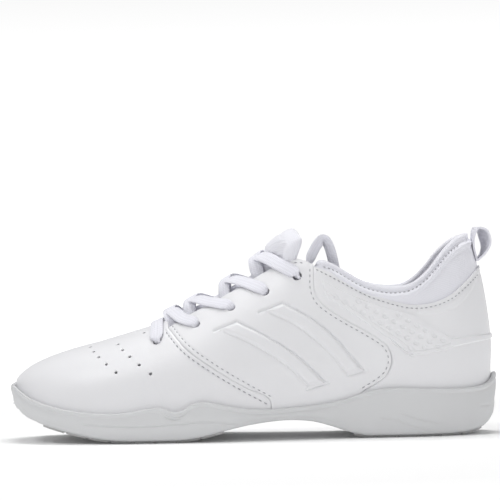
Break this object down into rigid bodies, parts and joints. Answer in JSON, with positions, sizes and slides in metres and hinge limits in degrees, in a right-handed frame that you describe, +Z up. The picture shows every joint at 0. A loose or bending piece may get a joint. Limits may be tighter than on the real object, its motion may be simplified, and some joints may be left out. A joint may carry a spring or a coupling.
{
  "type": "cheer shoe",
  "caption": "Low-cut cheer shoe with a cupped rubber sole with forefoot and heel treads, smooth upper, overlaid side panels, flat laces, padded tongue and collar, and a heel pull tab.",
  "frame": {"origin": "on the ground under the middle of the sole's box", "axes": "+X from toe to heel, +Y to the inner (medial) side of a left shoe, +Z up"},
  "size_m": [0.2621, 0.0915, 0.1127],
  "materials": {
    "tread_rubber": "matt off-white rubber",
    "sole_foam": "matt off-white moulded foam rubber",
    "shank_plastic": "matt grey plastic",
    "board": "pressed fibre board",
    "footbed_fabric": "cloth-faced foam",
    "upper_leather": "smooth white coated leather",
    "stiffener": "matt sheet",
    "lining_fabric": "ribbed lining cloth",
    "knit_fabric": "smooth stretch knit, faintly lavender white",
    "padding": "open-cell foam",
    "webbing": "woven tape",
    "lace_fabric": "flat braided lace",
    "aglet_plastic": "clear shrunk film over the braid"
  },
  "bodies": {
    "shoe": {"outsole_forefoot": "tread_rubber", "outsole_heel": "tread_rubber", "midsole": "sole_foam", "arch_shank": "shank_plastic", "insole_board": "board", "footbed": "footbed_fabric", "vamp": "upper_leather", "toe_puff": "stiffener", "vamp_lining": "lining_fabric", "saddle_lateral": "upper_leather", "saddle_medial": "upper_leather", "eyestay_backer_lateral": "stiffener", "eyestay_backer_medial": "stiffener", "rear_quarter_lateral": "upper_leather", "rear_quarter_medial": "upper_leather", "ankle_panel_lateral": "upper_leather", "ankle_panel_medial": "upper_leather", "heel_strap": "upper_leather", "heel_counter": "stiffener", "collar_knit": "knit_fabric", "collar_foam": "padding", "quarter_lining": "lining_fabric", "collar_binding": "knit_fabric", "lace": "lace_fabric", "lace_end_lateral": "lace_fabric", "lace_end_medial": "lace_fabric", "aglet_lateral": "aglet_plastic", "aglet_medial": "aglet_plastic"},
    "tongue": {"tongue_face": "knit_fabric", "tongue_foam": "padding", "tongue_lining": "lining_fabric"},
    "pull_tab": {"pull_tab": "webbing"}
  },
  "joints": [
    {"name": "tongue_fold", "type": "hinge", "parent": "shoe", "child": "tongue", "pos_m": [-0.047, 0, 0.05], "axis": [0, 1, 0], "range_deg": [0, 10]},
    {"name": "pull_tab_fold", "type": "hinge", "parent": "shoe", "child": "pull_tab", "pos_m": [0.1205, 0, 0.0915], "axis": [0, 1, 0], "range_deg": [0, 35]}
  ]
}
